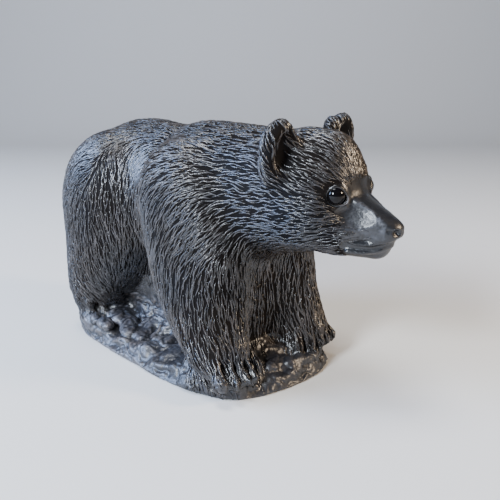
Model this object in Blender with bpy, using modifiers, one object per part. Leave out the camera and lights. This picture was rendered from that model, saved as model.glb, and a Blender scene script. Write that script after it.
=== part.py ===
"""A small carved bear standing on a slab of rock, cut as one piece, with two set-in bead eyes.

Metres, +Z up. The bear faces -Y and its left side is +X. The origin is the centre of the flat underside.
"""
import math

import bmesh
import bpy
import numpy as np
from mathutils import Matrix, Vector, noise

# Driving dimensions
FIGURE_HEIGHT = 0.080        # soles to ear tips
ROCK_LENGTH = 0.104
ROCK_WIDTH = 0.060
ROCK_THICKNESS = 0.007       # underside to soles
EYE_DIAMETER = 0.0058
EYE_GAP = 0.0003             # glue line round a bead
MOST_TRIANGLES = 8700

# The drawing is 80 parts from soles to ear tips, with the soles 7 parts above its ground line.
# Its places are (forward, left, up), counted from a point under the chest.
PART = FIGURE_HEIGHT / 80
SOLE = 7
ROUGH_GRAIN = 1.2 * PART     # voxel of the first, rough form
FINE_GRAIN = 0.8 * PART      # voxel of the carved form
# Rock outline, clockwise from the right hind corner, as shares of half its length and half its width
ROCK_OUTLINE = [
    (-0.99, -0.70), (-0.76, -0.92), (-0.45, -0.97), (-0.04, -0.98), (0.34, -1.00), (0.61, -0.95),
    (0.80, -0.84), (0.92, -0.66), (0.98, -0.40), (1.00, -0.04), (1.00, 0.27), (0.97, 0.52),
    (0.90, 0.76), (0.70, 0.93), (0.35, 1.00), (-0.05, 0.95), (-0.45, 0.97), (-0.80, 0.88),
    (-0.97, 0.60), (-1.00, 0.10), (-1.00, -0.35),
]

HEAD_YAW = 11                # degrees, turned to the bear's left
HEAD_ROLL = 1.2


def at(forward, left, up, rock_middle=(2.5, -1.5)):
    """A place of the drawing in the model."""
    return Vector((
        (left - rock_middle[1]) * PART,
        (rock_middle[0] - forward) * PART,
        (up - SOLE) * PART + ROCK_THICKNESS,
    ))


def of_head(forward, left, up, between_eyes=(70.2, 4.3, 67.0)):
    """A place of the head, counted from between the eyes, as a place of the drawing."""
    roll = math.radians(HEAD_ROLL)
    left, up = left * math.cos(roll) - up * math.sin(roll), left * math.sin(roll) + up * math.cos(roll)
    yaw = math.radians(HEAD_YAW)
    return (
        between_eyes[0] + forward * math.cos(yaw) - left * math.sin(yaw),
        between_eyes[1] + forward * math.sin(yaw) + left * math.cos(yaw),
        between_eyes[2] + up,
    )


def bead_place(side):
    """Middle of the left (1) or right (-1) bead, as a place of the drawing."""
    return of_head(-0.2, 9.0 * side, 0)


def placed(centre, radii, pitch=0, yaw=0, roll=0):
    """The matrix of an egg. It turns nose up, then nose to the left, and its left side rises with roll."""
    turn = (
        Matrix.Rotation(math.radians(yaw), 3, "Z")
        @ Matrix.Rotation(math.radians(-pitch), 3, "X")
        @ Matrix.Rotation(math.radians(-roll), 3, "Y")
    )
    size = Vector((radii[1], radii[0], radii[2])) * PART
    return Matrix.LocRotScale(at(*centre), turn, size)


def blob(clay, centre, radii, pitch=0, yaw=0, roll=0):
    bmesh.ops.create_icosphere(clay, subdivisions=3, radius=1, matrix=placed(centre, radii, pitch, yaw, roll))


def head_blob(clay, centre, radii, pitch=0, yaw=0, roll=0):
    blob(clay, of_head(*centre), radii, pitch, yaw + HEAD_YAW, roll + HEAD_ROLL)


def limb(clay, stations, count=5):
    """Clay rolled along a path. A station is a centre and its three radii."""
    for (a, size_a), (b, size_b) in zip(stations, stations[1:]):
        for step in range(count + 1):
            t = step / count
            blob(clay, Vector(a).lerp(Vector(b), t), Vector(size_a).lerp(Vector(size_b), t))


def rock_slab(clay):
    """A prism of the outline, a little smaller at the top."""
    rings = []
    for share, height in ((0.99, -3.0), (1.0, 3.0), (0.95, 5.4), (0.88, 6.6)):
        ring = []
        for along, across in ROCK_OUTLINE:
            x = across * share * ROCK_WIDTH / 2
            y = -along * share * ROCK_LENGTH / 2
            ring.append(clay.verts.new((x, y, height / SOLE * ROCK_THICKNESS)))
        rings.append(ring)
    for low, high in zip(rings, rings[1:]):
        for i in range(len(low)):
            j = (i + 1) % len(low)
            clay.faces.new((low[i], low[j], high[j], high[i]))
    clay.faces.new(rings[0][::-1])
    clay.faces.new(rings[-1])
    bmesh.ops.recalc_face_normals(clay, faces=clay.faces)
    # the swell that the hind paws stand on
    limb(clay, [((-34, -13, 6.2), (15, 17, 4.8)), ((-34, 11, 6.2), (15, 17, 4.8))])


def torso(clay):
    # spine from the rump over the loin and the shoulders into the neck
    limb(clay, [
        ((-31, -1, 54.5), (25, 22.5, 29)),
        ((-24, -1, 55), (25, 22.5, 30)),
        ((-7, -1, 57), (20, 22, 26)),
        ((12, -1, 59.5), (20, 23, 26)),
        ((24, 0, 61), (21, 21, 24)),
        ((38, 1, 63), (19, 20, 21)),
        ((50, 2, 65), (16, 19, 19)),
    ], 4)
    for side in (-1, 1):
        blob(clay, (-30.5, 13.5 * side - 1, 51.5), (26, 18.5, 29))
    # tail
    limb(clay, [((-54, -1, 60), (5, 5.5, 6)), ((-57.5, -1, 53), (4, 4.5, 5))])
    # throat and breast, the solid stone under the belly, and its foot with a ramp between the fore paws
    limb(clay, [((30, -1, 58), (17, 19, 16)), ((54, 1, 61), (15, 17.5, 15))])
    limb(clay, [((20, -1, 46), (17, 17, 24)), ((27, 0, 22), (11, 14, 20))])
    limb(clay, [((-36, -1, 22), (10, 12, 24)), ((26, -1, 20), (10, 9, 24))], 8)
    limb(clay, [((-24, -1, 6), (12, 14, 12)), ((24, -1, 6), (12, 14, 12))], 8)
    limb(clay, [((22, 0, 14), (8, 13, 9)), ((36, 1, 5), (8, 13, 4))])


def hind_leg(clay, side):
    limb(clay, [
        ((-32, 15 * side - 1, 42), (22, 16, 24)),
        ((-38, 17.5 * side - 1, 22), (14.5, 12.5, 15)),
    ])
    limb(clay, [
        ((-41, 17 * side - 1, 15), (10.5, 12, 8)),
        ((-40, 17 * side - 1, 12), (9.5, 11, 6)),
    ], 3)


def fore_leg(clay, side, ahead):
    # shoulder, fore arm and wrist
    limb(clay, [
        ((17 + ahead, 15.5 * side - 1, 60), (20, 14.5, 21)),
        ((22 + ahead, 15.5 * side - 1, 42), (20.5, 14.5, 18)),
        ((26 + ahead, 16.5 * side - 1, 27), (18, 12.5, 12)),
        ((34 + ahead, 18 * side - 1, 15), (12.5, 11, 9)),
        ((38.5 + ahead, 18.5 * side - 1, 10.5), (10.5, 10.5, 6)),
    ])


def skull(clay):
    head_blob(clay, (-14, 0, 0.5), (17.5, 18, 17.5))
    head_blob(clay, (-7.5, 0, 5), (9.5, 13, 12.5))
    for side in (-1, 1):
        head_blob(clay, (-12, 8 * side, -6), (13, 10.5, 11.5))
        head_blob(clay, (-4.5, 8 * side, 4), (5.5, 5, 5))
    head_blob(clay, (-6, 0, -11), (15, 13, 8))
    # muzzle: bridge falling to the nose, jaw nearly level
    for step in range(9):
        t = step / 8
        head_blob(clay, (-4 + 18 * t, 0, -6.5 - 3.7 * t), (7 - 3.2 * t, 11 - 6.6 * t, 9 - 5.4 * t), pitch=-20)
    for step in range(7):
        t = step / 6
        head_blob(clay, (-6 + 14.3 * t, 0, -12.5 - 3 * t), (7 - 1.5 * t, 11 - 6.3 * t, 7.3 - 3 * t))


def ears(clay):
    for side in (-1, 1):
        # the left one is cut a little wider, the right one a little taller
        wide, tall = (1.4, 0) if side > 0 else (0, 0.8)
        lobe = (3.6, 6.2 + wide / 2, 8.4)
        head_blob(clay, (-14.3, (17.8 + wide) * side, 13.0 + tall), lobe, yaw=14 * side, roll=20 * side)
        head_blob(clay, (-13.8, 14 * side, 11.0), (3.4, 7.0, 7.0), yaw=10 * side)
        head_blob(clay, (-16.5, 15.5 * side, 8), (5, 5, 7.5), yaw=14 * side)


def ear_cup(side):
    """The egg that hollows the front of an ear."""
    centre = of_head(-10.6, 17.6 * side, 12.4)
    return placed(centre, (3.6, 4.7, 6.7), yaw=14 * side + HEAD_YAW, roll=20 * side + HEAD_ROLL)


def face(clay):
    for side in (-1, 1):
        # brow and lids
        head_blob(clay, (-2.4, 8.2 * side, 2.2), (4.8, 3.0, 3.6), pitch=-15, yaw=-20 * side)
        head_blob(clay, (-0.4, 8.5 * side, -0.2), (4.2, 2.5, 4.0), pitch=-15, yaw=-30 * side)
        # upper lip
        head_blob(clay, (11.5, 2.6 * side, -12.6), (4.6, 2.6, 2.4), yaw=-18 * side)
    # nose pad
    head_blob(clay, (14.8, 0, -10.2), (2.6, 3.1, 2.2), pitch=-25)
    head_blob(clay, (9.0, 0, -16.8), (4.2, 3.4, 2.5))


def toe_lines(side):
    """Start and end of each toe of the fore and of the hind paw on this side."""
    lines = []
    # the right fore paw reaches over the edge of the rock
    tip, low = (50.5, 6.5) if side < 0 else (48, 8.8)
    for toe in range(5):
        across = (toe - 2) / 2
        back = 3 * across * across
        fore = 18.5 * side - 1
        hind = 17 * side - 1
        lines.append(((38, fore + 6 * across, 14), (tip - back, fore + 8.2 * across, low)))
        lines.append(((-42, hind + 6 * across, 19), (-31 - back, hind + 8.4 * across, 13.2)))
    return lines


def paws(clay):
    for side in (-1, 1):
        for root, tip in toe_lines(side):
            limb(clay, [(root, (4, 2.2, 4)), (tip, (3, 2.1, 2.6))], 4)


def mesh_object(name, clay):
    mesh = bpy.data.meshes.new(name)
    clay.to_mesh(mesh)
    clay.free()
    made = bpy.data.objects.new(name, mesh)
    bpy.context.scene.collection.objects.link(made)
    return made


def keep_evaluated(obj):
    """Makes what the modifiers give the object's own mesh."""
    graph = bpy.context.evaluated_depsgraph_get()
    mesh = bpy.data.meshes.new_from_object(obj.evaluated_get(graph))
    obj.modifiers.clear()
    old, obj.data = obj.data, mesh
    bpy.data.meshes.remove(old)


def fill_air_pockets(obj):
    """Clay closed over a hollow leaves a skin that faces inward, which goes. Skins that face outward stay."""
    clay = bmesh.new()
    clay.from_mesh(obj.data)
    found = set()
    pockets = []
    for start in clay.verts:
        if start in found:
            continue
        found.add(start)
        skin = [start]
        for vert in skin:
            for edge in vert.link_edges:
                other = edge.other_vert(vert)
                if other not in found:
                    found.add(other)
                    skin.append(other)
        middle = sum((vert.co for vert in skin), Vector()) / len(skin)
        outward = 0
        for face in {face for vert in skin for face in vert.link_faces}:
            outward += (face.calc_center_median() - middle).dot(face.normal) * face.calc_area()
        if outward < 0:
            pockets += skin
    bmesh.ops.delete(clay, geom=pockets, context="VERTS")
    clay.to_mesh(obj.data)
    clay.free()


def fuse(obj, grain, softening):
    remesh = obj.modifiers.new("Fuse", "REMESH")
    remesh.mode = "VOXEL"
    remesh.voxel_size = grain
    smooth = obj.modifiers.new("Soften", "SMOOTH")
    smooth.factor = 0.5
    smooth.iterations = softening
    keep_evaluated(obj)
    fill_air_pockets(obj)


def add(obj, clay):
    """Puts more clay on what is there."""
    clay.from_mesh(obj.data)
    clay.to_mesh(obj.data)
    clay.free()


def places_of(obj):
    """Vertices and their normals as arrays of metres."""
    mesh = obj.data
    places = np.empty(len(mesh.vertices) * 3)
    normals = np.empty(len(mesh.vertices) * 3)
    mesh.vertices.foreach_get("co", places)
    mesh.vertices.foreach_get("normal", normals)
    return places.reshape(-1, 3), normals.reshape(-1, 3)


def put_places(obj, places):
    obj.data.vertices.foreach_set("co", places.ravel())
    obj.data.update()


def distance_to_path(places, path):
    """How far each place is from the nearest piece of a path of drawing places."""
    best = np.full(len(places), np.inf)
    corners = [np.array(at(*corner)) for corner in path]
    for a, b in zip(corners, corners[1:]):
        along = b - a
        t = np.clip((places - a) @ along / (along @ along), 0, 1)
        best = np.minimum(best, np.linalg.norm(places - a - t[:, None] * along, axis=1))
    return best


def groove(obj, path, width, depth, sharpness=1.5):
    """Sinks the surface along a path of drawing places. Width and depth are in parts."""
    places, normals = places_of(obj)
    near = np.clip(1 - distance_to_path(places, path) / (width * PART), 0, 1)
    put_places(obj, places - normals * (near ** sharpness * depth * PART)[:, None])


def hollow(obj, egg, direction):
    """Pushes what lies inside an egg out of it, along a direction of the drawing."""
    places, _ = places_of(obj)
    inside_out = np.array(egg.inverted())
    own = places @ inside_out[:3, :3].T + inside_out[:3, 3]
    push = np.array(Vector((direction[1], -direction[0], direction[2])).normalized())
    step = inside_out[:3, :3] @ push
    a = step @ step
    b = own @ step
    c = (own * own).sum(axis=1) - 1
    reach = np.where(c < 0, (-b + np.sqrt(np.maximum(b * b - a * c, 0))) / a, 0)
    put_places(obj, places + reach[:, None] * push)


def cut_flat(obj):
    """Takes off all below the table, and closes the underside."""
    clay = bmesh.new()
    clay.from_mesh(obj.data)
    every = clay.verts[:] + clay.edges[:] + clay.faces[:]
    cut = bmesh.ops.bisect_plane(clay, geom=every, plane_co=(0, 0, 0), plane_no=(0, 0, -1), clear_outer=True)
    rim = [item for item in cut["geom_cut"] if isinstance(item, bmesh.types.BMEdge)]
    bmesh.ops.edgeloop_fill(clay, edges=rim)
    clay.to_mesh(obj.data)
    clay.free()


def weather_rock(obj):
    """Cracks the rock into lumps, leaving the paws as they are."""
    places, normals = places_of(obj)
    soles = [np.array(at(40, 18.5 * side - 1, 9)) for side in (-1, 1)]
    soles += [np.array(at(-39, 17 * side - 1, 9)) for side in (-1, 1)]
    for i, place in enumerate(places):
        up = (place[2] - ROCK_THICKNESS) / PART
        if up > 11 or place[2] < ROCK_THICKNESS / SOLE:
            continue
        keep = 1 - max(0, up - 4) / 7
        for sole in soles:
            away = np.hypot((place[0] - sole[0]) / 11, (place[1] - sole[1]) / 13) / PART
            if up > -1.5:
                keep *= min(1, max(0, (away - 0.8) / 0.3))
        if keep <= 0:
            continue
        cell = Vector(place) / (9.5 * PART)
        cell.z *= 0.6
        near, far = noise.voronoi(cell)[0][:2]
        lump = min(1, (far - near) / 0.35)
        swell = noise.noise(Vector(place) / (13 * PART))
        places[i] = place + normals[i] * keep * PART * (2.0 * lump - 1.5 + 1.2 * swell)
    put_places(obj, places)


def carve(bear):
    weather_rock(bear)
    for side in (-1, 1):
        backward = Vector(of_head(-1, 0.3 * side, 0)) - Vector(of_head(0, 0, 0))
        hollow(bear, ear_cup(side), backward)
        # mouth, from under the nose back to the cheek
        mouth = ((16, 0.5, -13.6), (13.5, 3.2, -14.6), (9.5, 5.4, -15.0), (3, 8.6, -14.8))
        groove(bear, [of_head(ahead, out * side, up) for ahead, out, up in mouth], 1.6, 1.5)
        for (root, tip), (next_root, next_tip) in zip(toe_lines(side), toe_lines(side)[2:]):
            between = [
                (Vector(root) + Vector(next_root)) / 2 + Vector((3, 0, 3)),
                (Vector(tip) + Vector(next_tip)) / 2 + Vector((2, 0, 1)),
                (Vector(tip) + Vector(next_tip)) / 2 + Vector((2, 0, -3)),
            ]
            groove(bear, between, 2.2, 1.7, 1.2)
        # behind the shoulder
        back = ((0, 2, 84), (1, 14, 79), (3, 22, 69), (4.5, 26, 54), (5.5, 27, 42))
        groove(bear, [(ahead, out * side, up) for ahead, out, up in back], 6, 2.4, 2)


def thin_out(obj):
    """Brings the mesh down to MOST_TRIANGLES, sparing the head and the paws."""
    places, _ = places_of(obj)
    head = np.linalg.norm(places - np.array(at(*of_head(-3, 0, 0))), axis=1) / (32 * PART)
    paws = (places[:, 2] / PART - 4) / 15
    weights = np.clip(np.maximum(1.1 - head, 0.6 - np.abs(paws - 0.5)), 0, 1)
    spared = obj.vertex_groups.new(name="Spared")
    for i, weight in enumerate(weights):
        if weight > 0.02:
            spared.add([i], float(weight), "REPLACE")
    thin = obj.modifiers.new("Thin out", "DECIMATE")
    thin.ratio = MOST_TRIANGLES / (2 * len(obj.data.polygons))
    thin.vertex_group = "Spared"
    thin.invert_vertex_group = True
    thin.vertex_group_factor = 0.12
    keep_evaluated(obj)


def ball(name, side, radius, material):
    made = bmesh.new()
    bmesh.ops.create_uvsphere(made, u_segments=16, v_segments=10, radius=radius)
    obj = mesh_object(name, made)
    obj.data.polygons.foreach_set("use_smooth", [True] * len(obj.data.polygons))
    obj.matrix_world = Matrix.Translation(at(*bead_place(side)))
    obj.data.materials.append(material)
    return obj


def material(name, colour, roughness, coat):
    made = bpy.data.materials.new(name)
    made.use_nodes = True
    shader = made.node_tree.nodes["Principled BSDF"]
    shader.inputs["Base Color"].default_value = (*colour, 1)
    shader.inputs["Roughness"].default_value = roughness
    shader.inputs["Coat Weight"].default_value = coat
    made.diffuse_color = (*colour, 1)
    return made


def main():
    for obj in list(bpy.data.objects):
        bpy.data.objects.remove(obj)
    clay = bmesh.new()
    torso(clay)
    for side in (-1, 1):
        hind_leg(clay, side)
        fore_leg(clay, side, 0 if side < 0 else 1)
    bear = mesh_object("bear_on_rock", clay)
    fuse(bear, ROUGH_GRAIN, 30)
    clay = bmesh.new()
    rock_slab(clay)
    skull(clay)
    add(bear, clay)
    fuse(bear, ROUGH_GRAIN, 8)
    clay = bmesh.new()
    ears(clay)
    face(clay)
    paws(clay)
    add(bear, clay)
    fuse(bear, FINE_GRAIN, 4)
    carve(bear)
    thin_out(bear)
    cut_flat(bear)
    bear.data.polygons.foreach_set("use_smooth", [True] * len(bear.data.polygons))
    bear.data.materials.append(material("Dark soapstone", (0.055, 0.055, 0.062), 0.42, 0.2))
    jet = material("Jet bead", (0.004, 0.004, 0.005), 0.06, 1)
    pieces = bpy.data.collections.new("Bear figurine")
    cutters = bpy.data.collections.new("Cutters")
    for collection in (pieces, cutters):
        bpy.context.scene.collection.children.link(collection)
    found = [(bear, pieces)]
    for name, side in (("right_eye", -1), ("left_eye", 1)):
        found.append((ball(name, side, EYE_DIAMETER / 2, jet), pieces))
        cutter = ball(name + "_socket", side, EYE_DIAMETER / 2 + EYE_GAP, jet)
        cutter.hide_render = True
        cutter.display_type = "WIRE"
        found.append((cutter, cutters))
        socket = bear.modifiers.new("Socket " + name, "BOOLEAN")
        socket.operation = "DIFFERENCE"
        socket.solver = "EXACT"
        socket.object = cutter
    for obj, collection in found:
        bpy.context.scene.collection.objects.unlink(obj)
        collection.objects.link(obj)


main()
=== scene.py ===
import math

import bmesh
import bpy
import numpy as np
from mathutils import Matrix, Vector, noise
from mathutils.bvhtree import BVHTree


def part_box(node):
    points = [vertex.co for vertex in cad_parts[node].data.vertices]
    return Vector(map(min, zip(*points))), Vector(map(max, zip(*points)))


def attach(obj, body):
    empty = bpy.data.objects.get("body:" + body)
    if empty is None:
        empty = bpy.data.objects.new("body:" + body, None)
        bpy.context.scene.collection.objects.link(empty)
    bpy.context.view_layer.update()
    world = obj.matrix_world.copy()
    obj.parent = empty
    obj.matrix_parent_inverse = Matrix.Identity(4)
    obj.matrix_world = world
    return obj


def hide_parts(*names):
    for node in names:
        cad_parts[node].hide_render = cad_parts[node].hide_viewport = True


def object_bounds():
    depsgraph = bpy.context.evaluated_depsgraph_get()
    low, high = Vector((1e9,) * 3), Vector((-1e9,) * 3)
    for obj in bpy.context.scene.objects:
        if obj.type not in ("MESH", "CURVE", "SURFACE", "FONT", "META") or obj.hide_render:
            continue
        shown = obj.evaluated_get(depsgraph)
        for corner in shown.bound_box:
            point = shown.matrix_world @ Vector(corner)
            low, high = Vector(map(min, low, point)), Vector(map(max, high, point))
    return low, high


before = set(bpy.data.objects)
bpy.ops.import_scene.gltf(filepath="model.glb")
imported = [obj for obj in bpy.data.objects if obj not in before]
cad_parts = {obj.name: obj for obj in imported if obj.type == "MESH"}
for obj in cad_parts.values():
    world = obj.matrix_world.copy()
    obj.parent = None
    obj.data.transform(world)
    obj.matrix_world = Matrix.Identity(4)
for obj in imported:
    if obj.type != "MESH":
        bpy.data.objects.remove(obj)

boxAtStart = [list(corner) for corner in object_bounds()]
dice = np.random.default_rng(11)
noise.seed_set(1795851637)  # without it the cracks of the rock move from run to run
mm = 0.001


# Places are (ahead, left, up) in millimetres, counted from a point under the belly

base = {
    "ahead": 2.5,  # the middle of the underside, from that point
    "left": -1.5,
    "spine": -1,  # how far left of that point the bear's middle plane is
}


def at(ahead, left, up):
    return Vector(((left - base["left"]) * mm, (base["ahead"] - ahead) * mm, up * mm))


def away(ahead, left, up):
    return Vector((left, -ahead, up))


head = {
    "between the eyes": (70.2, 4.3, 67.0),
    "turned left": 11,
    "leaning": 1.2,
    "ears turned out": 14,
    "ears leaning in": 20,
}

eyes = {
    "place": (-0.2, 9.0, 0.0),  # on the head, ahead, out and up
    "way": (0.60, 0.80, 0.06),
}


def headTurn():
    return Matrix.Rotation(math.radians(head["turned left"]), 3, "Z") \
        @ Matrix.Rotation(math.radians(-head["leaning"]), 3, "Y")


def onHead(ahead, left, up):
    return at(*head["between the eyes"]) + headTurn() @ (away(ahead, left, up) * mm)


def headAway(ahead, left, up):
    return headTurn() @ away(ahead, left, up)


def sided(path, side, forward=0):
    # a path on the head, on the left (1) or right (-1)
    return [onHead(a + forward, b * side, c) for a, b, c in path]


def headPlaces(places):
    # model places as (ahead, left, up) of the head, in millimetres
    own = (places - np.array(at(*head["between the eyes"]))) @ np.array(headTurn()) / mm
    return np.stack((-own[:, 1], own[:, 0], own[:, 2]), 1)


def bodyPlaces(places):
    return np.stack((base["ahead"] - places[:, 1] / mm, places[:, 0] / mm + base["left"],
                     places[:, 2] / mm), 1)


def ramp(values, low, high):
    t = np.clip((values - low) / (high - low), 0, 1)
    return t * t * (3 - 2 * t)


# Mesh helpers

def newObject(name, mesh):
    made = bpy.data.objects.new(name, mesh)
    bpy.context.scene.collection.objects.link(made)
    return made


def applyModifiers(obj):
    graph = bpy.context.evaluated_depsgraph_get()
    mesh = bpy.data.meshes.new_from_object(obj.evaluated_get(graph))
    obj.modifiers.clear()
    old, obj.data = obj.data, mesh
    bpy.data.meshes.remove(old)


def readPlaces(mesh):
    places = np.empty(len(mesh.vertices) * 3)
    normals = np.empty(len(mesh.vertices) * 3)
    mesh.vertices.foreach_get("co", places)
    mesh.vertices.foreach_get("normal", normals)
    return places.reshape(-1, 3), normals.reshape(-1, 3)


def writePlaces(mesh, places):
    low, high = np.array(boxAtStart[0]), np.array(boxAtStart[1])
    mesh.vertices.foreach_set("co", np.clip(places, low, high).ravel())
    mesh.update()


def smoothFaces(mesh):
    mesh.polygons.foreach_set("use_smooth", [True] * len(mesh.polygons))


def egg(clay, centre, radii, turn=None):
    # radii are ahead, left and up
    size = Vector((radii[1], radii[0], radii[2])) * mm
    matrix = Matrix.LocRotScale(centre, turn or Matrix.Identity(3), size)
    bmesh.ops.create_icosphere(clay, subdivisions=3, radius=1, matrix=matrix)


def headTurned(out=0, lean=0):
    # the head's own direction, turned further left and leaned right
    return Matrix.Rotation(math.radians(head["turned left"] + out), 3, "Z") \
        @ Matrix.Rotation(math.radians(-lean), 3, "Y")


def earTurn(side):
    return headTurned(head["ears turned out"] * side, head["ears leaning in"] * side)


def rolled(clay, start, end, sizeStart, sizeEnd, count):
    for step in range(count + 1):
        t = step / count
        size = Vector(sizeStart).lerp(Vector(sizeEnd), t)
        egg(clay, start.lerp(end, t), size)


def fromPath(places, path):
    # distance to the nearest piece of a path
    best = np.full(len(places), 1.0)
    corners = [np.array(corner) for corner in path]
    for a, b in zip(corners, corners[1:]):
        along = b - a
        t = np.clip((places - a) @ along / (along @ along), 0, 1)
        best = np.minimum(best, np.linalg.norm(places - a - t[:, None] * along, axis=1))
    return best


def groove(mesh, path, width, depth, sharpness=1.6):
    places, normals = readPlaces(mesh)
    near = np.clip(1 - fromPath(places, path) / (width * mm), 0, 1) ** sharpness
    writePlaces(mesh, places - normals * (near * depth * mm)[:, None])


def dent(mesh, centre, radii, depth, turn=None, direction=None):
    places, normals = readPlaces(mesh)
    own = (places - np.array(centre)) @ np.array(turn or Matrix.Identity(3))
    own /= np.array((radii[1], radii[0], radii[2])) * mm
    near = np.clip(1 - (own * own).sum(1), 0, 1) ** 0.7
    push = -normals if direction is None else np.array(direction)[None, :]
    writePlaces(mesh, places + push * (near * depth * mm)[:, None])


# Materials

def nodesOf(name):
    made = bpy.data.materials.new(name)
    made.use_nodes = True
    tree = made.node_tree
    return made, tree, tree.nodes["Principled BSDF"]


def link(tree, source, target):
    tree.links.new(source, target)


def valueNoise(tree, pattern, low=0, high=1):
    # pattern is scale and detail, and most of the noise lies between 0.3 and 0.7
    place = tree.nodes.new("ShaderNodeTexCoord")
    cloud = tree.nodes.new("ShaderNodeTexNoise")
    cloud.inputs["Scale"].default_value = pattern[0]
    cloud.inputs["Detail"].default_value = pattern[1]
    link(tree, place.outputs["Object"], cloud.inputs["Vector"])
    spread = tree.nodes.new("ShaderNodeMapRange")
    spread.inputs["From Min"].default_value = 0.3
    spread.inputs["From Max"].default_value = 0.7
    spread.inputs["To Min"].default_value = low
    spread.inputs["To Max"].default_value = high
    link(tree, cloud.outputs["Fac"], spread.inputs["Value"])
    return spread.outputs["Result"]


def mixColours(tree, share, first, second, kind="MIX"):
    mix = tree.nodes.new("ShaderNodeMix")
    mix.data_type = "RGBA"
    mix.blend_type = kind
    for socket, given in ((mix.inputs[0], share), (mix.inputs[6], first), (mix.inputs[7], second)):
        if isinstance(given, (int, float)):
            socket.default_value = given
        elif isinstance(given, tuple):
            socket.default_value = (*given, 1)
        else:
            link(tree, given, socket)
    return mix.outputs[2]


def channel(tree, name):
    read = tree.nodes.new("ShaderNodeVertexColor")
    read.layer_name = name
    split = tree.nodes.new("ShaderNodeSeparateColor")
    link(tree, read.outputs["Color"], split.inputs["Color"])
    return split.outputs


def sums(tree, kind, a, b):
    node = tree.nodes.new("ShaderNodeMath")
    node.operation = kind
    for socket, given in zip(node.inputs, (a, b)):
        if isinstance(given, (int, float)):
            socket.default_value = given
        else:
            link(tree, given, socket)
    return node.outputs[0]


stoneLook = {
    # groove and crest colours are painted shade and painted highlight: the red paint mixes between them
    "groove": (0.004, 0.004, 0.005),
    "crest": (0.092, 0.096, 0.114),
    "warm groove": (0.007, 0.0045, 0.003),
    "warm crest": (0.118, 0.095, 0.078),
    "rock in painted shade": (0.012, 0.012, 0.015),
    "rock pale": (0.068, 0.076, 0.100),
    "rock tan": (0.095, 0.076, 0.064),
    "muzzle": (0.006, 0.0065, 0.009),
    "crest contrast": 1.8,
    "warm patches": (38, 3),  # scale and detail of each pattern
    "rock mottle": (150, 6),
    "flecks": (900, 2),
    "fleck strength": (0.72, 1.12),
    "sheen patches": (260, 4),
    "roughness": (0.20, 0.32),
    "rock rougher by": 0.14,
    "muzzle rougher by": 0.10,
    "shine": 0.70,
    "grain": (1400, 3),
    "grain strength": 0.6,
    "grain depth": 0.00006,
}

# near-black stone between the strokes and in the ear cups: painted shade on the stone's dark colour
betweenStrokes = {
    "sheen patches": (400, 4),
    "roughness": (0.55, 0.75),
    "shine": 0.06,
}

jetLook = {
    "dark": (0.002, 0.002, 0.003),
    "pale": (0.005, 0.004, 0.004),
    "patches": (300, 2),
    "sheen patches": (500, 3),
    "roughness": (0.06, 0.12),
    "shine": 0.24,
}


# The paint layer holds painted light in red (painted highlight on stroke crests and where the stone stands
# out, painted shade in creases), rock in green and polish in blue
def stoneMaterial():
    look = stoneLook
    made, tree, shader = nodesOf("Dark soapstone")
    crest, rock, polish = channel(tree, "Paint")[:3]
    crest = sums(tree, "POWER", crest, look["crest contrast"])
    warmth = valueNoise(tree, look["warm patches"])
    # red paint mixes from the groove colours, painted shade, to the crest colours, painted highlight; the
    # same on the muzzle and on the rock
    low = mixColours(tree, warmth, look["groove"], look["warm groove"])
    high = mixColours(tree, warmth, look["crest"], look["warm crest"])
    coat = mixColours(tree, crest, low, high)
    mottle = valueNoise(tree, look["rock mottle"])
    tan = mixColours(tree, mottle, look["rock pale"], look["rock tan"])
    ground = mixColours(tree, crest, look["rock in painted shade"], tan)
    smooth = mixColours(tree, crest, look["muzzle"], look["crest"])
    coat = mixColours(tree, polish, coat, smooth)
    colour = mixColours(tree, rock, coat, ground)
    fleck = valueNoise(tree, look["flecks"], *look["fleck strength"])
    grey = tree.nodes.new("ShaderNodeCombineColor")
    for socket in grey.inputs[:3]:
        link(tree, fleck, socket)
    colour = mixColours(tree, 1.0, colour, grey.outputs["Color"], "MULTIPLY")
    link(tree, colour, shader.inputs["Base Color"])
    rough = valueNoise(tree, look["sheen patches"], *look["roughness"])
    rough = sums(tree, "ADD", rough, sums(tree, "MULTIPLY", rock, look["rock rougher by"]))
    rough = sums(tree, "ADD", rough, sums(tree, "MULTIPLY", polish, look["muzzle rougher by"]))
    link(tree, rough, shader.inputs["Roughness"])
    shader.inputs["Specular IOR Level"].default_value = look["shine"]
    bump = tree.nodes.new("ShaderNodeBump")
    bump.inputs["Strength"].default_value = look["grain strength"]
    bump.inputs["Distance"].default_value = look["grain depth"]
    link(tree, valueNoise(tree, look["grain"]), bump.inputs["Height"])
    link(tree, bump.outputs["Normal"], shader.inputs["Normal"])
    return made


def grooveMaterial():
    look = betweenStrokes
    made, tree, shader = nodesOf("Soapstone in painted shade between the strokes")
    warmth = valueNoise(tree, stoneLook["warm patches"])
    colour = mixColours(tree, warmth, stoneLook["groove"], stoneLook["warm groove"])
    link(tree, colour, shader.inputs["Base Color"])
    link(tree, valueNoise(tree, look["sheen patches"], *look["roughness"]), shader.inputs["Roughness"])
    shader.inputs["Specular IOR Level"].default_value = look["shine"]
    return made


def jetMaterial():
    look = jetLook
    made, tree, shader = nodesOf("Jet bead")
    colour = mixColours(tree, valueNoise(tree, look["patches"]), look["dark"], look["pale"])
    link(tree, colour, shader.inputs["Base Color"])
    link(tree, valueNoise(tree, look["sheen patches"], *look["roughness"]), shader.inputs["Roughness"])
    shader.inputs["Specular IOR Level"].default_value = look["shine"]
    return made


def paint(mesh, red, green, blue):
    layer = mesh.color_attributes.new("Paint", "BYTE_COLOR", "POINT")
    values = np.ones((len(mesh.vertices), 4), np.float32)
    values[:, 0] = np.clip(red, 0, 1)
    values[:, 1] = np.clip(green, 0, 1)
    values[:, 2] = np.clip(blue, 0, 1)
    layer.data.foreach_set("color", values.ravel())


# The carved stone under the fur

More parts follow.
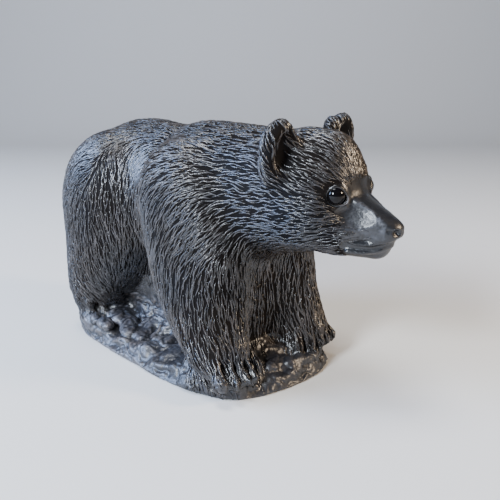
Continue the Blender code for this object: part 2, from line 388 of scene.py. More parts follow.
form = {
    "voxel": 0.00046,
    "softening": 7,
    "softening share": 0.5,
    "triangles": 190000,
    "shoulder crease": [(0, 2, 84), (1, 14, 79), (3, 22, 69), (4.5, 26, 54), (5.5, 27, 42)],
    "shoulder cut": (5, 1.1, 2),  # width, depth and sharpness
}

paws = {
    "fore out": 18.5,
    "hind out": 17,
    "gaps": (-0.75, -0.25, 0.25, 0.75),  # between the toes, across the paw
    "bow": 3,  # outer toes stand back
    "fore width": (6.6, 8.2),  # at the root and the tip of the toes
    "hind width": (6.4, 8.4),
    "fore roots": (41, 15),  # ahead and up
    "right fore tips": (50.5, 6.5),
    "left fore tips": (48, 8.8),
    "hind line": ((-38, 18), (-33, 14), (-30, 10)),
    "cut": (1.4, 1.1, 1.1),
}

slab = {
    "top": (10.5, 13.5),  # where rock gives way to bear
    "rise": 5.5,  # it climbs to the web under the belly
    "rises from": (-32, -24),
    "rises to": (14, 26),
    "fore paw": (40, 13.5, 12),  # ahead, half length and half width
    "hind paw": (-40, 11.0, 12.5),
    "paw edge": (0.85, 1.0),
    "right paw sole": (3.0, 5.5),
    "left paw sole": (6.0, 8.5),
    "hind paw sole": (9.0, 11.5),
    "plain foot": (0.3, 1.2),
    "bend": (3.0, 5.5),  # strength and size
    "flatness": 1.6,
    "plate size": 7.0,
    "crack width": 0.25,
    "swell size": 6.5,
    "layer size": (9, 2.2),
    "grit size": 1.2,
    "plate push": (0.5, 0.7),  # plain, and more on a swell
    "other pushes": (0.45, 0.7, 0.3),  # of swells, layers and grit
    "depth": 0.75,
    # start, end, and radii ahead, left and up of the lumps on top
    "lumps": [
        ((-19, -18, 7.4), (-11, -24, 6.4), (4.8, 3.0, 2.2)),
        ((-26, -20, 8.6), (-21, -21, 8.0), (3.6, 3.0, 2.2)),
        ((-24, -26, 7.4), (-20, -27, 7.0), (3.4, 2.8, 2.0)),
        ((-6, -22, 5.8), (-3, -23, 5.6), (3.0, 2.5, 1.9)),
        ((-31, -26, 7.8), (-28, -27, 7.4), (3.0, 2.5, 1.8)),
        ((49, 3, 6.0), (50, 12, 5.6), (2.4, 4.0, 2.0)),
        ((47, -5, 6.0), (45, 0, 6.2), (2.6, 3.0, 2.0)),
        ((41, 4, 7.6), (44, 9, 6.8), (2.0, 3.0, 1.8)),
    ],
    "lump end": 0.8,
}

# Places on the head, mirrored for the right side. A cut is width, depth and, for some, sharpness.
face = {
    "mouth line": [(15.9, 0.4, -13.4), (13.6, 3.3, -14.6), (9.5, 5.7, -15.4), (5.5, 7.6, -15.2),
                   (2.5, 9.0, -14.2)],
    "mouth forward": 0.2,
    "mouth cut": (1.1, 1.3, 1.1),
    "lips": ((1.1, 1.3), (-1.2, 2.3)),  # above the mouth line, and behind it
    "lip radius": 0.8,
    "nose wing": ((14.2, 2.0, -10.6), (2.4, 1.5, 1.5), -20),
    "bridge edge": ((3.4, 4.6, -2.2), (13.2, 3.1, -8.2)),
    "bridge radii": (1.3, 1.0),
    "chin": ((8.2, 0, -17.2), (4.2, 3.6, 2.4)),
    "left ear lobes": (((-14.4, 13.6, 13.4), (2.8, 5.4, 7.0)), ((-14.4, 21.4, 14.2), (2.8, 4.8, 6.6))),
    "nostril": ((16.4, 2.3, -10.4), (1.5, 1.1, 1.1), 1.3, -25),
    "nostril way": (-0.8, -0.5, 0.1),
    "nostril line": [(16.2, 3.2, -9.9), (14.2, 4.2, -9.6)],
    "nostril line cut": (0.9, 0.6),
    "nose line": [(17.2, 0, -10.0), (16.6, 0, -13.6)],
    "nose line cut": (0.7, 0.5),
    "brow crease": [(3.6, 7.0, 0.6), (2.6, 8.4, 3.2), (0.2, 10.2, 4.2), (-2.6, 11.6, 3.2)],
    "brow cut": (1.3, 0.55, 1.4),
    "hollow by the eye": ((4.4, 7.2, -1.4), (2.4, 1.8, 2.2), 0.5),
    "hollow of the cheek": ((6.5, 8.0, -5.6), (8.0, 4.5, 3.6), 0.9),
    "ear hollow": ((-11.6, 17.4, 12.2), (3.8, 4.2, 6.4), 1.3),
    "ear hollow way": (-1, 0.2, 0),
    "ear cup": ((-11.2, 17.4, 12.2), (4.0, 4.3, 6.2)),
    "ear back": -14.6,
}


def copyOfStone():
    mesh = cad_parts["bear_on_rock"].data.copy()
    mesh.materials.clear()
    clay = bmesh.new()
    clay.from_mesh(mesh)
    bmesh.ops.remove_doubles(clay, verts=clay.verts, dist=1e-6)
    clay.to_mesh(mesh)
    clay.free()
    while mesh.uv_layers:
        mesh.uv_layers.remove(mesh.uv_layers[0])
    obj = newObject("carved_stone", mesh)
    rounding = obj.modifiers.new("Round", "SUBSURF")
    rounding.levels = 2
    rounding.render_levels = 2
    applyModifiers(obj)
    return obj


def addDetailClay(obj):
    clay = bmesh.new()
    clay.from_mesh(obj.data)
    for start, end, radii in slab["lumps"]:
        rolled(clay, at(*start), at(*end), radii, Vector(radii) * slab["lump end"], 4)
    lip = (face["lip radius"],) * 3
    wide, narrow = face["bridge radii"]
    for side in (-1, 1):
        place, radii, out = face["nose wing"]
        egg(clay, *sided([place], side), radii, headTurned(out * side))
        for rise, back in face["lips"]:
            shifted = [(a - back, b, c + rise) for a, b, c in face["mouth line"][:4]]
            line = sided(shifted, side)
            for start, end in zip(line, line[1:]):
                rolled(clay, start, end, lip, lip, 8)
        start, end = sided(face["bridge edge"], side)
        rolled(clay, start, end, (wide,) * 3, (narrow,) * 3, 14)
    egg(clay, onHead(*face["chin"][0]), face["chin"][1], headTurned())
    for place, radii in face["left ear lobes"]:
        egg(clay, onHead(*place), radii, earTurn(1))
    clay.to_mesh(obj.data)
    clay.free()


def fuseClay(obj):
    remesh = obj.modifiers.new("Fuse", "REMESH")
    remesh.mode = "VOXEL"
    remesh.voxel_size = form["voxel"]
    soften = obj.modifiers.new("Soften", "SMOOTH")
    soften.factor = form["softening share"]
    soften.iterations = form["softening"]
    applyModifiers(obj)


def pawReach(here, side, out, paw):
    # 1 at the edge of a paw, less inside
    ahead, halfLength, halfWidth = paw
    return np.hypot((here[:, 0] - ahead) / halfLength,
                    (here[:, 1] - (out * side + base["spine"])) / halfWidth)


def rockShare(places):
    # 1 on the rock, 0 on the bear, smooth between
    here = bodyPlaces(places)
    climb = slab["rise"] * ramp(here[:, 0], *slab["rises from"]) * (1 - ramp(here[:, 0], *slab["rises to"]))
    share = 1 - ramp(here[:, 2] - climb, *slab["top"])
    for side, sole in ((-1, slab["right paw sole"]), (1, slab["left paw sole"])):
        fore = pawReach(here, side, paws["fore out"], slab["fore paw"])
        hind = pawReach(here, side, paws["hind out"], slab["hind paw"])
        share *= np.maximum(ramp(fore, *slab["paw edge"]), 1 - ramp(here[:, 2], *sole))
        share *= np.maximum(ramp(hind, *slab["paw edge"]), 1 - ramp(here[:, 2], *slab["hind paw sole"]))
    return share


def weatherRock(obj):
    places, normals = readPlaces(obj.data)
    share = rockShare(places)
    share *= ramp(places[:, 2] / mm, *slab["plain foot"])
    where = np.nonzero(share > 0.02)[0]
    push = np.zeros(len(places))
    bend, bendSize = slab["bend"]
    across, high = slab["layer size"]
    plain, more = slab["plate push"]
    swelling, layering, gritting = slab["other pushes"]
    for i in where:
        place = Vector(places[i]) / mm
        bent = place + bend * noise.noise_vector(place / bendSize)
        bent.z *= slab["flatness"]
        near, far = noise.voronoi(bent / slab["plate size"])[0][:2]
        plate = min(1, (far - near) / slab["crack width"])
        swell = noise.noise(place / slab["swell size"])
        layer = abs(noise.noise(Vector((bent.x / across, bent.y / across, bent.z / high))))
        grit = noise.noise(place / slab["grit size"])
        push[i] = (plate - 0.75) * (plain + more * swell) + swelling * swell \
            + layering * (0.35 - layer) + gritting * grit
    step = push * share * slab["depth"] * mm
    writePlaces(obj.data, places + normals * step[:, None])


def carveFace(mesh):
    for side in (-1, 1):
        groove(mesh, sided(face["mouth line"], side, face["mouth forward"]), *face["mouth cut"])
        place, radii, depth, out = face["nostril"]
        a, b, c = face["nostril way"]
        dent(mesh, *sided([place], side), radii, depth, headTurned(out * side),
             headAway(a, b * side, c).normalized())
        groove(mesh, sided(face["nostril line"], side), *face["nostril line cut"])
        groove(mesh, sided(face["brow crease"], side), *face["brow cut"])
        place, radii, depth = face["hollow by the eye"]
        dent(mesh, *sided([place], side), radii, depth)
        place, radii, depth = face["ear hollow"]
        a, b, c = face["ear hollow way"]
        dent(mesh, *sided([place], side), radii, depth, earTurn(side),
             headAway(a, b * side, c).normalized())
        place, radii, depth = face["hollow of the cheek"]
        dent(mesh, *sided([place], side), radii, depth)
    groove(mesh, sided(face["nose line"], 1), *face["nose line cut"])


def toePaths(side):
    # the cuts between the toes of the paws on one side
    paths = []
    fore = paws["fore out"] * side + base["spine"]
    hind = paws["hind out"] * side + base["spine"]
    root, top = paws["fore roots"]
    tip, low = paws["right fore tips"] if side < 0 else paws["left fore tips"]
    atRoot, atTip = paws["fore width"]
    hindRoot, hindTip = paws["hind width"]
    start, knuckle, end = paws["hind line"]
    for gap in paws["gaps"]:
        back = paws["bow"] * gap * gap
        paths.append([at(root, fore + atRoot * gap, top),
                      at(tip - 1.5 - back, fore + atTip * gap, low + 2.5),
                      at(tip + 1.5 - back, fore + atTip * gap, low - 2)])
        paths.append([at(start[0], hind + hindRoot * gap, start[1]),
                      at(knuckle[0] - back, hind + hindTip * gap, knuckle[1]),
                      at(end[0] - back, hind + hindTip * gap, end[1])])
    return paths


def carveBody(mesh):
    for side in (-1, 1):
        for path in toePaths(side):
            groove(mesh, path, *paws["cut"])
        crease = [at(a, b * side, c) for a, b, c in form["shoulder crease"]]
        groove(mesh, crease, *form["shoulder cut"])


def thinOut(obj):
    thin = obj.modifiers.new("Thin", "DECIMATE")
    thin.ratio = form["triangles"] / (2 * len(obj.data.polygons))
    applyModifiers(obj)


# used to place painted highlights where the stone stands out and painted shade in its creases
def convexityOf(mesh):
    # high where the surface stands out, low in creases
    places, normals = readPlaces(mesh)
    ends = np.empty(len(mesh.edges) * 2, np.int64)
    mesh.edges.foreach_get("vertices", ends)
    a, b = ends.reshape(-1, 2).T
    count = np.bincount(np.concatenate((a, b)), minlength=len(places)).astype(float)
    middle = np.zeros_like(places)
    for axis in range(3):
        middle[:, axis] = np.bincount(a, places[b, axis], len(places))
        middle[:, axis] += np.bincount(b, places[a, axis], len(places))
    middle /= count[:, None]
    reach = np.bincount(a, np.linalg.norm(places[a] - places[b], axis=1), len(places))
    reach += np.bincount(b, np.linalg.norm(places[a] - places[b], axis=1), len(places))
    convexity = ((places - middle) * normals).sum(1) / (reach / count)
    for _ in range(2):  # softened among its neighbours
        spread = np.bincount(a, convexity[b], len(places)) + np.bincount(b, convexity[a], len(places))
        convexity = 0.4 * convexity + 0.6 * spread / count
    return convexity


# painted light on the carved stone, with its mottled and streaked marks
paintedLightAndTone = {
    "rock": (0.50, 8.0),  # tone of flat stone, and gain of painted highlight where it stands out and of painted shade in cracks
    "skin": (0.10, 1.2),
    "skin palest": 0.35,
    "muzzle": (-1.0, 3.0),  # ahead of the eyes
    "muzzle top": (3, 6),
    "mottle size": 1.7,
    "streak size": (0.5, 2.4),
    "streak slope": 0.6,
    "cheek from": ((1, 4), (3.0, 5.0)),  # ahead and out
    "cheek top": (-3.5, -0.5),
    "cheek sheen": (0.25, 0.30, 0.35),  # painted sheen: even, mottled and streaked like scratches
    # a painted highlight along the edge beside the bridge of the nose
    "edge from": (3, 6),
    "edge out": (4.2, 1.3),  # its place and half width
    "edge top": (-1, 2),
    "edge highlight": (0.20, 0.3, 0.7),
    "mouth behind": 1.5,
    "mouth top": (-13.4, -11.6),
    "nose from": (12.8, 14.2),
    "nose darker by": 0.9,
    "web": (0.42, 0.4, 4),  # even, mottled, and painted highlight where it stands out
    "web palest": 0.9,
    "front of the rock": (8, 34),
    "front slant": 0.3,
    "front shade": 0.35,
}


def paintStone(mesh):
    look = paintedLightAndTone
    places, _ = readPlaces(mesh)
    here = bodyPlaces(places)
    own = headPlaces(places)
    out = np.abs(own[:, 1])
    rock = rockShare(places)
    convexity = convexityOf(mesh)
    muzzle = ramp(own[:, 0], *look["muzzle"]) * (1 - ramp(own[:, 2], *look["muzzle top"]))
    # painted highlight where the stone stands out and painted shade in its creases and cracks, on rock and
    # bare skin
    flat, gain = look["rock"]
    skin, skinGain = look["skin"]
    onSkin = np.clip(skin + skinGain * convexity, 0, look["skin palest"])
    crest = np.where(rock > 0.5, flat + gain * convexity, onSkin)
    # painted sheen, mottled and streaked like scratches, on the cheek plane, and a painted highlight along
    # the edge beside the bridge of the nose
    mottle = np.array([noise.noise(Vector(place) / (look["mottle size"] * mm)) for place in places])
    fine, long = look["streak size"]
    slope = look["streak slope"]
    streaks = np.array([noise.noise(Vector((a / fine, (b + slope * c) / long, (c - slope * b) / fine)))
                        for a, b, c in own])
    ahead, outward = look["cheek from"]
    cheek = ramp(own[:, 0], *ahead) * ramp(out, *outward) * (1 - ramp(own[:, 2], *look["cheek top"]))
    edge, halfWidth = look["edge out"]
    edgeHighlight = ramp(own[:, 0], *look["edge from"]) * np.clip(1 - np.abs(out - edge) / halfWidth, 0, 1)
    edgeHighlight *= 1 - ramp(own[:, 2], *look["edge top"])
    for share, (even, mottled, streaked) in ((cheek, look["cheek sheen"]), (edgeHighlight, look["edge highlight"])):
        crest = np.clip(crest + share * (even + mottled * mottle + streaked * streaks), 0, 1)
    # the painted light fades out below the mouth line and towards the nose tip, so lips, chin and nose are
    # darker
    crest *= np.where(own[:, 0] > look["mouth behind"], ramp(own[:, 2], *look["mouth top"]), 1)
    crest *= 1 - look["nose darker by"] * ramp(own[:, 0], *look["nose from"])
    # the belly web is painted pale, partly as light falling on it from the side, with painted highlights
    # where it stands out
    even, mottled, raised = look["web"]
    web = bellyWeb(here) & (rock <= 0.5)
    crest = np.where(web, np.clip(even + mottled * mottle + raised * convexity, 0, look["web palest"]), crest)
    # painted light: the hind half of the rock is paler where light falls, its front darker in painted shade
    pale = 1 - ramp(here[:, 0] - look["front slant"] * here[:, 1], *look["front of the rock"])
    crest *= np.where(rock > 0.5, look["front shade"] + (1 - look["front shade"]) * pale, 1)
    paint(mesh, crest, rock, muzzle)


def darkenBetweenStrokes(mesh):
    # the second material, near-black as painted shade, lies under the fur and in the ear cups, with a loose
    # edge on the muzzle
    middles = np.empty(len(mesh.polygons) * 3)
    mesh.polygons.foreach_get("center", middles)
    middles = middles.reshape(-1, 3)
    own = headPlaces(middles)
    edge = bare["dark ends"] + dice.uniform(-1, 1, len(middles))
    furred = (furShare(middles) > bare["dark where"]) & (own[:, 0] < edge)
    furred |= earCups(own)
    mesh.polygons.foreach_set("material_index", furred.astype(np.int32))


def makeStone(material, grooves):
    obj = copyOfStone()
    addDetailClay(obj)
    fuseClay(obj)
    weatherRock(obj)
    carveFace(obj.data)
    carveBody(obj.data)
    thinOut(obj)
    mesh = obj.data
    writePlaces(mesh, readPlaces(mesh)[0])  # keeps it in its box
    smoothFaces(mesh)
    paintStone(mesh)
    mesh.materials.append(material)
    mesh.materials.append(grooves)
    darkenBetweenStrokes(mesh)
    print("stone:", len(mesh.polygons), "faces")
    return obj


# The fur, as strokes of a small gouge

furFlow = [
    # place, way it runs
    ((40, -1, 84), (-1, 0, 0)),
    ((20, -1, 86), (-1, 0, 0)),
    ((0, -1, 84), (-1, 0, 0)),
    ((-25, -1, 85), (-1, 0, 0)),
    ((-45, -1, 78), (-0.8, 0, -0.6)),
    ((-56, -1, 62), (-0.3, 0, -1)),
    ((-57, -1, 45), (0, 0, -1)),
    ((-55, -12, 30), (0, 0, -1)),
    ((15, -22, 72), (-1, 0, -0.35)),
    ((5, -26, 62), (-0.5, -0.1, -1)),
    ((8, -28, 50), (-0.15, 0, -1)),
    ((20, -29, 50), (-0.45, 0, -1)),
    ((30, -27, 50), (-0.6, 0, -0.8)),
    ((38, -22, 52), (-0.7, -0.2, -0.5)),
    ((24, -29, 35), (-0.1, 0, -1)),
    ((30, -28, 22), (0.15, 0, -1)),
    ((40, -27, 14), (0.6, -0.1, -0.8)),
    ((42, -18, 18), (0.7, 0, -0.7)),
    ((38, -20, 35), (0.1, 0, -1)),
    ((42, -1, 45), (0, 0, -1)),
    ((38, -1, 30), (0, 0, -1)),
    ((20, -8, 20), (0, 0, -1)),
    ((-25, -29, 70), (-0.9, 0, -0.3)),
    ((-40, -26, 65), (-0.6, 0.2, -0.7)),
    ((-30, -31, 50), (-0.35, 0, -0.9)),
    ((-34, -30, 30), (0.1, 0, -1)),
    ((-30, -28, 18), (0.5, 0, -0.8)),
    ((-10, -24, 60), (0.15, -0.1, -1)),
    ((-14, -25, 50), (0.3, -0.2, -1)),
    ((-18, -27, 68), (0.35, -0.2, -0.9)),
    ((50, -18, 60), (-1, -0.2, -0.1)),
    ((44, -20, 70), (-1, -0.1, 0)),
]

headFlow = [
    ((0, 0, 8), (-0.9, 0, 0.5)),
    ((-6, 0, 17), (-1, 0, 0.2)),
    ((-14, 0, 19), (-1, 0, 0)),
    ((-2, -8, 9), (-0.8, -0.3, 0.5)),
    ((-8, -12, 12), (-0.8, -0.4, 0.4)),
    ((-6, -14, 2), (-1, -0.2, 0.25)),
    ((-12, -17, -3), (-1, -0.1, 0)),
    ((-4, -12, -7), (-1, -0.3, -0.15)),
    ((-14, -17, -10), (-1, 0, -0.25)),
    ((4, -9, -11), (-1, -0.3, -0.1)),
    ((0, -5, -19), (-1, 0, 0)),
    ((-22, -16, 2), (-1, 0, -0.15)),
    ((-18, -18, 8), (-0.3, -0.1, 1)),
    ((-17, -19, 16), (0, 0, 1)),
    ((-10, -20, 4), (-0.8, -0.2, 0.6)),
]

coats = {
    "length": (5.4, 8.2),
    "half width": 0.38,
    "width spread": (0.8, 1.15),
    "crest": 0.43,
    "crest spread": (0.7, 1.2),
    "glint": (0.30, 1.0),
    "sunk": 0.12,
    "gap along": 3.0,
    "gap across": 0.66,
    "search cell": 4.0,
    "candidates": 170000,
    "profile": (0.55, 0.90, 1.0, 0.86, 0.52),
    "flow softness": 30,
    "bend": 6,  # degrees
    "wave": 13,
    "wave step": 1.1,
    "fewer on the muzzle": (0.93, 2.5, 7.5),  # how many go, and where that starts and ends
    "head size": (28, 26, 26),
    "finer on the head": (0.24, 0.5, 1.1),
    "finer on the rump": (0.16, -34, -8),
    "finer on the muzzle": (0.22, 1, 5),
    "parting lean": 0.15,  # the coats meet on two leaning lines
    "parting height": 50,
    "rear parting": 0,
    "front parting": 44,
}

# where no fur is cut
bare = {
    "belly web": ((-26, 12), 26, 17),  # behind and ahead, height, half width
    "toes": (48.5, 10.5),
    "muzzle edge": (3.0, 4.4),
    "brow back by": 3.5,
    "brow": ((-8, -4), (1, 4)),
    "lip forward by": 7.5,
    "lip": (-10.5, -8.0),
    "mouth": (-13.4, 1.5),
    "round the eye": 3.6,
    "dark ends": 1.5,
    "dark where": 0.75,
}


def flowGuides():
    places, ways = [], []
    for (ahead, left, up), (a, b, c) in furFlow:
        for side in (1, -1):
            places.append(at(ahead, (left - base["spine"]) * side + base["spine"], up))
            ways.append(away(a, b * side, c).normalized())
    for (ahead, left, up), (a, b, c) in headFlow:
        for side in (1, -1):
            places.append(onHead(ahead, left * side, up))
            ways.append(headAway(a, b * side, c).normalized())
    return np.array(places), np.array(ways)


guidePlaces, guideWays = flowGuides()


def flowAt(places):
    way = np.zeros_like(places)
    for guide, guideWay in zip(guidePlaces, guideWays):
        far = np.linalg.norm(places - guide, axis=1) / mm
        way += guideWay / (far ** 3 + coats["flow softness"])[:, None]
    return way / np.linalg.norm(way, axis=1)[:, None]


def bellyWeb(here):
    # the stone left standing under the belly
    (behind, ahead), height, halfWidth = bare["belly web"]
    inner = np.abs(here[:, 1] - base["spine"])
    return (here[:, 0] > behind) & (here[:, 0] < ahead) & (here[:, 2] < height) & (inner < halfWidth)


def earCups(own):
    (ahead, out, up), radii = face["ear cup"]
    inside = np.zeros(len(own), bool)
    for side in (-1, 1):
        cup = (own - np.array((ahead, out * side, up))) / np.array(radii)
        inside |= (np.linalg.norm(cup, axis=1) < 1) & (own[:, 0] > face["ear back"])
    return inside


def furShare(places):
    here = bodyPlaces(places)
    own = headPlaces(places)
    share = 1 - rockShare(places)
    share[bellyWeb(here)] = 0
    tip, top = bare["toes"]
    share[(here[:, 0] > tip) & (here[:, 2] < top)] = 0
    # the edge of the fur runs from between the eyes down to the cheek, and forward again over the lip
    low, high = bare["brow"]
    brow = ramp(own[:, 2], *low) * (1 - ramp(own[:, 2], *high))
    lip = 1 - ramp(own[:, 2], *bare["lip"])
    edge = own[:, 0] + bare["brow back by"] * brow - bare["lip forward by"] * lip
    share *= 1 - ramp(edge, *bare["muzzle edge"])
    below, behind = bare["mouth"]
    share[(own[:, 2] < below) & (own[:, 0] > behind)] = 0
    ahead, out, up = eyes["place"]
    for side in (-1, 1):
        eye = np.linalg.norm(own - np.array((ahead, out * side, up)), axis=1)
        share[eye < bare["round the eye"]] = 0
    share[earCups(own)] = 0
    return share


def spots(obj):
    # seeded places on the surface, kept apart further along the flow than across it
    mesh = obj.data
    mesh.calc_loop_triangles()
    corners = np.empty(len(mesh.loop_triangles) * 3, np.int64)
    mesh.loop_triangles.foreach_get("vertices", corners)
    places, _ = readPlaces(mesh)
    a, b, c = (places[corners.reshape(-1, 3)[:, k]] for k in range(3))
    area = np.linalg.norm(np.cross(b - a, c - a), axis=1)
    pick = dice.choice(len(area), coats["candidates"], p=area / area.sum())
    r = np.sqrt(dice.random(len(pick)))[:, None]
    s = dice.random(len(pick))[:, None]
    found = (1 - r) * a[pick] + r * (1 - s) * b[pick] + r * s * c[pick]
    gone, start, end = coats["fewer on the muzzle"]
    thinned = dice.random(len(found)) > gone * ramp(headPlaces(found)[:, 0], start, end)
    found = found[(furShare(found) > 0.5) & thinned]
    ways = flowAt(found)
    size = strokeSize(found)
    cell = coats["search cell"] * mm
    grid = {}
    kept = []
    for i, place in enumerate(found):
        key = tuple(np.floor(place / cell).astype(int))
        near = []
        for x in (-1, 0, 1):
            for y in (-1, 0, 1):
                for z in (-1, 0, 1):
                    near += grid.get((key[0] + x, key[1] + y, key[2] + z), [])
        if near:
            gap = (found[near] - place) / mm / size[i]
            along = gap @ ways[i]
            across = np.sqrt(np.maximum((gap * gap).sum(1) - along * along, 0))
            if ((along / coats["gap along"]) ** 2 + (across / coats["gap across"]) ** 2 < 1).any():
                continue
        grid.setdefault(key, []).append(i)
        kept.append(i)
    return found[kept]


def strokeSize(places):
    # shorter and finer on the head, the rump and the muzzle
    own = headPlaces(places)
    here = bodyPlaces(places)
    less, near, far = coats["finer on the head"]
    onFace = 1 - ramp(np.linalg.norm(own / coats["head size"], axis=1), near, far)
    lessRump, behind, ahead = coats["finer on the rump"]
    rump = 1 - ramp(here[:, 0], behind, ahead)
    lessMuzzle, start, end = coats["finer on the muzzle"]
    return 1.0 - less * onFace - lessRump * rump - lessMuzzle * ramp(own[:, 0], start, end)


def traceStrokes(obj, starts):
    graph = bpy.context.evaluated_depsgraph_get()
    tree = BVHTree.FromObject(obj, graph)
    mesh = obj.data
    _, normals = readPlaces(mesh)
    corners = [tuple(polygon.vertices) for polygon in mesh.polygons]

    def settle(places):
        placed = np.empty_like(places)
        facing = np.empty_like(places)
        for i, place in enumerate(places):
            spot, _, face, _ = tree.find_nearest(place)
            placed[i] = spot
            facing[i] = normals[list(corners[face])].mean(0)
        return placed, facing / np.linalg.norm(facing, axis=1)[:, None]

    count = len(starts)
    size = strokeSize(starts)
    steps = len(coats["profile"]) + 1
    length = dice.uniform(*coats["length"], count) * size * mm / steps
    bend = dice.normal(0, coats["bend"], count)
    wave = dice.uniform(0, 2 * math.pi, count)
    place, facing = settle(starts)
    stations = []
    for step in range(steps + 1):
        way = flowAt(place)
        turn = np.radians(bend + coats["wave"] * np.sin(wave + step * coats["wave step"]))
        way -= facing * (way * facing).sum(1)[:, None]
        way /= np.linalg.norm(way, axis=1)[:, None] + 1e-9
        left = np.cross(facing, way)
        way = way * np.cos(turn)[:, None] + left * np.sin(turn)[:, None]
        left = np.cross(facing, way)
        stations.append((place, facing, left))
        if step < steps:
            place, facing = settle(place + way * length[:, None])
    return stations, size


def strokeMesh(name, stations, size, chosen, material):
    profile = coats["profile"]
    count = int(chosen.sum())
    glint = dice.uniform(*coats["glint"], count)
    width = coats["half width"] * size[chosen] * dice.uniform(*coats["width spread"], count) * mm
    height = coats["crest"] * size[chosen] * dice.uniform(*coats["crest spread"], count) * mm
    sunk = coats["sunk"] * mm
    rows = []
    shades = []
    root, facing, _ = (part[chosen] for part in stations[0])
    rows.append(root - facing * sunk)
    shades.append(np.zeros(count))
    for share, (place, facing, left) in zip(profile, stations[1:-1]):
        place, facing, left = place[chosen], facing[chosen], left[chosen]
        out = left * (width * share)[:, None]
        down = facing * sunk
        rows += [place + out - down, place + facing * (height * share)[:, None], place - out - down]
        shades += [np.zeros(count), glint * (0.5 + 0.5 * share), np.zeros(count)]
    tip, facing, _ = (part[chosen] for part in stations[-1])
    rows.append(tip - facing * sunk)
    shades.append(np.zeros(count))
    places = np.stack(rows, 1)
    perStroke = places.shape[1]
    pattern = [(0, 2, 1), (0, 3, 2), (0, 1, 3)]
    for k in range(len(profile) - 1):
        l, t, r = 1 + 3 * k, 2 + 3 * k, 3 + 3 * k
        pattern += [(l, t, t + 3, l + 3), (r, r + 3, t + 3, t), (l, l + 3, r + 3, r)]
    l, t, r = perStroke - 4, perStroke - 3, perStroke - 2
    end = perStroke - 1
    pattern += [(end, l, t), (end, t, r), (end, r, l)]
    faces = []
    for stroke in range(count):
        first = stroke * perStroke
        faces += [tuple(first + k for k in face) for face in pattern]
    mesh = bpy.data.meshes.new(name)
    flat = places.reshape(-1, 3)
    mesh.from_pydata(flat.tolist(), [], faces)
    writePlaces(mesh, flat)
    smoothFaces(mesh)
    shade = np.stack(shades, 1).ravel()
    paint(mesh, shade, np.zeros(len(flat)), np.zeros(len(flat)))
    mesh.materials.append(material)
    print(name + ":", count, "strokes")
    return newObject(name, mesh)


def makeCoats(stone, material):
    starts = spots(stone)
    stations, size = traceStrokes(stone, starts)
    here = bodyPlaces(starts)
    line = here[:, 0] + coats["parting lean"] * (here[:, 2] - coats["parting height"])
    rear = line < coats["rear parting"]
    front = line > coats["front parting"]
    made = []
    for name, chosen in (("rear_coat", rear), ("shoulder_coat", ~rear & ~front), ("head_coat", front)):
        made.append(strokeMesh(name, stations, size, chosen, material))
    return made


# Eyes

lids = {
    "turns": 40,
    "sides": 8,
    "reach": 2.78,  # from the middle of the eye
    "upright": 1.04,
    "corner turn": 0.45,  # the tear corner, ahead and down
    "corner reach": 1.1,
    "upper closer by": 0.22,
    "stands out": (0.85, -0.55, 0.50),  # all round, at the corner and on top
    "thickness": (0.26, 0.14, 0.34),
    "lidHighlight": (0.04, 0.9, 0.85),  # painted highlight: all round, at the tear corner and on the rim low in front
    "polish": 0.2,
}


def makeEye(node, material):
    low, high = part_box(node)
    centre = (low + high) / 2
    radius = (high.z - low.z) / 2
    clay = bmesh.new()
    bmesh.ops.create_uvsphere(clay, u_segments=48, v_segments=32, radius=radius)
    mesh = bpy.data.meshes.new(node + "_bead")
    clay.to_mesh(mesh)
    clay.free()
    smoothFaces(mesh)
    obj = newObject(node + "_bead", mesh)
    obj.location = centre
    mesh.materials.append(material)
    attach(obj, "root")
    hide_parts(node)
    print(node + ":", round(2 * radius / mm, 1), "mm bead")


def makeLids(material):
    clay = bmesh.new()
    lidHighlights = []
    ahead, out, up = eyes["place"]
    turns, sides = lids["turns"], lids["sides"]
    for side in (-1, 1):
        centre = onHead(ahead, out * side, up)
        a, b, c = eyes["way"]
        outward = headAway(a, b * side, c).normalized()
        above = (Vector((0, 0, 1)) - outward * outward.z).normalized()
        front = headAway(1, 0, 0)
        front = (front - outward * front.dot(outward) - above * front.dot(above)).normalized()
        rings = []
        for k in range(turns):
            angle = 2 * math.pi * k / turns
            fore, high = math.cos(angle), math.sin(angle)
            corner = max(0, math.cos(angle + lids["corner turn"])) ** 8
            top = max(0, high)
            reach = lids["reach"] + lids["corner reach"] * corner - lids["upper closer by"] * top
            spot = centre + (front * fore + above * high * lids["upright"]) * reach * mm
            outAll, outCorner, outTop = lids["stands out"]
            spot += outward * (outAll + outCorner * corner + outTop * top) * mm
            thin, atCorner, atTop = lids["thickness"]
            thick = (thin + atTop * top + atCorner * corner) * mm
            radial = (front * fore + above * high).normalized()
            # painted highlights at the tear corner and on the lower front rim of the lid
            dark, pale, rim = lids["lidHighlight"]
            lidHighlight = dark + pale * corner + rim * max(0, -high) * max(0, fore + 0.3)
            ring = []
            for j in range(sides):
                spin = 2 * math.pi * j / sides
                offset = (radial * math.cos(spin) + outward * math.sin(spin)) * thick
                ring.append(clay.verts.new(spot + offset))
                lidHighlights.append(lidHighlight)
            rings.append(ring)
        for now, then in zip(rings, rings[1:] + rings[:1]):
            for j in range(sides):
                after = (j + 1) % sides
                clay.faces.new((now[j], now[after], then[after], then[j]))
    bmesh.ops.recalc_face_normals(clay, faces=clay.faces)
    mesh = bpy.data.meshes.new("eyelids")
    clay.to_mesh(mesh)
    clay.free()
    smoothFaces(mesh)
    paint(mesh, np.array(lidHighlights), np.zeros(len(lidHighlights)), np.full(len(lidHighlights), lids["polish"]))
    mesh.materials.append(material)
    print("eyelids:", len(mesh.polygons), "faces")
    return newObject("eyelids", mesh)


# Studio

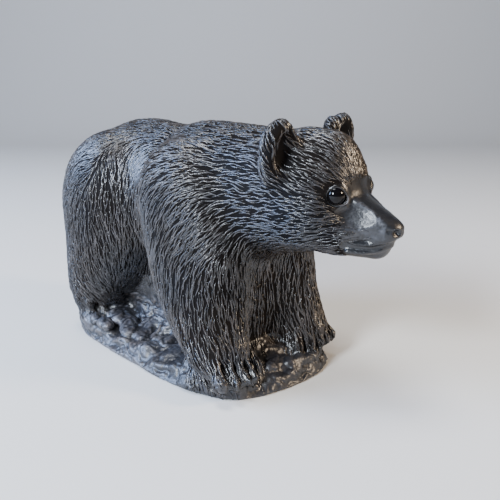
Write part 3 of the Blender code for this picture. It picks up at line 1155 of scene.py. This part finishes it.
# place, size, power and colour
lights = {
    "cool light": ((-0.60, 0.45, 0.36), 0.50, 15.0, (0.46, 0.63, 1.0)),
    "soft light": ((-0.70, -0.16, 0.42), 0.22, 12.0, (0.82, 0.90, 1.0)),
    "warm light": ((0.34, -0.55, 0.34), 0.14, 4.5, (1.0, 0.78, 0.56)),
    "top light": ((-0.10, 0.10, 0.80), 0.30, 5.0, (0.95, 0.97, 1.0)),
}

studio = {
    "lights look at": (0, -0.01, 0.04),
    "air": (0.86, 0.82, 0.77),
    "air strength": 0.07,
    "paper": (0.66, 0.65, 0.63),
    "paper roughness": 0.8,
    "front edge": -1.5,
    "flat until": 0.75,
    "curve": 0.35,
    "curve steps": 12,
    "top edge": 1.6,
    "half width": 2,
}

view = {
    "from": (-0.1495, -0.1914, 0.100),
    "tilt": 75.4,
    "looks along": (0.6797, 0.7334),  # to the right and away
    "lens": 48.384,
    "sensor": 36,
    "nearest": 0.01,
}


def viewTurn():
    return -math.atan2(*view["looks along"])


def makeLights():
    for name, (place, size, power, colour) in lights.items():
        data = bpy.data.lights.new(name, "AREA")
        data.shape = "DISK"
        data.size = size
        data.energy = power
        data.color = colour
        lamp = bpy.data.objects.new(name, data)
        bpy.context.scene.collection.objects.link(lamp)
        lamp.location = place
        lamp.rotation_mode = "QUATERNION"
        back = Vector(place) - Vector(studio["lights look at"])
        lamp.rotation_quaternion = back.to_track_quat("Z", "Y")
    world = bpy.data.worlds.new("Studio")
    bpy.context.scene.world = world
    world.use_nodes = True
    air = world.node_tree.nodes["Background"]
    air.inputs["Color"].default_value = (*studio["air"], 1)
    air.inputs["Strength"].default_value = studio["air strength"]


def makeFloor():
    # a pale sheet that lies flat and curves up behind
    clay = bmesh.new()
    rows = [(studio["front edge"], 0)]
    curve, steps = studio["curve"], studio["curve steps"]
    for step in range(steps + 1):
        angle = math.pi / 2 * step / steps
        rows.append((studio["flat until"] + curve * math.sin(angle), curve - curve * math.cos(angle)))
    rows.append((studio["flat until"] + curve, studio["top edge"]))
    ends = (-studio["half width"], studio["half width"])
    lines = [[clay.verts.new((across, along, up)) for across in ends] for along, up in rows]
    for low, high in zip(lines, lines[1:]):
        clay.faces.new((low[0], low[1], high[1], high[0]))
    mesh = bpy.data.meshes.new("floor")
    clay.to_mesh(mesh)
    clay.free()
    smoothFaces(mesh)
    floor = newObject("floor", mesh)
    floor.rotation_euler = (0, 0, viewTurn())
    paper, _, shader = nodesOf("Pale floor")
    shader.inputs["Base Color"].default_value = (*studio["paper"], 1)
    shader.inputs["Roughness"].default_value = studio["paper roughness"]
    mesh.materials.append(paper)


def makeCamera():
    data = bpy.data.cameras.new("View")
    camera = bpy.data.objects.new("View", data)
    bpy.context.scene.collection.objects.link(camera)
    data.sensor_width = view["sensor"]
    data.lens = view["lens"]
    data.clip_start = view["nearest"]
    camera.location = view["from"]
    camera.rotation_euler = (math.radians(view["tilt"]), 0, viewTurn())
    bpy.context.scene.camera = camera


soapstone = stoneMaterial()
stone = makeStone(soapstone, grooveMaterial())
coatPieces = makeCoats(stone, soapstone)
eyelids = makeLids(soapstone)
for piece in [stone, *coatPieces, eyelids]:
    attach(piece, "root")
    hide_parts("bear_on_rock")
jet = jetMaterial()
makeEye("right_eye", jet)
makeEye("left_eye", jet)
makeLights()
makeFloor()
makeCamera()
print("studio:", len(lights), "lights, floor and camera")
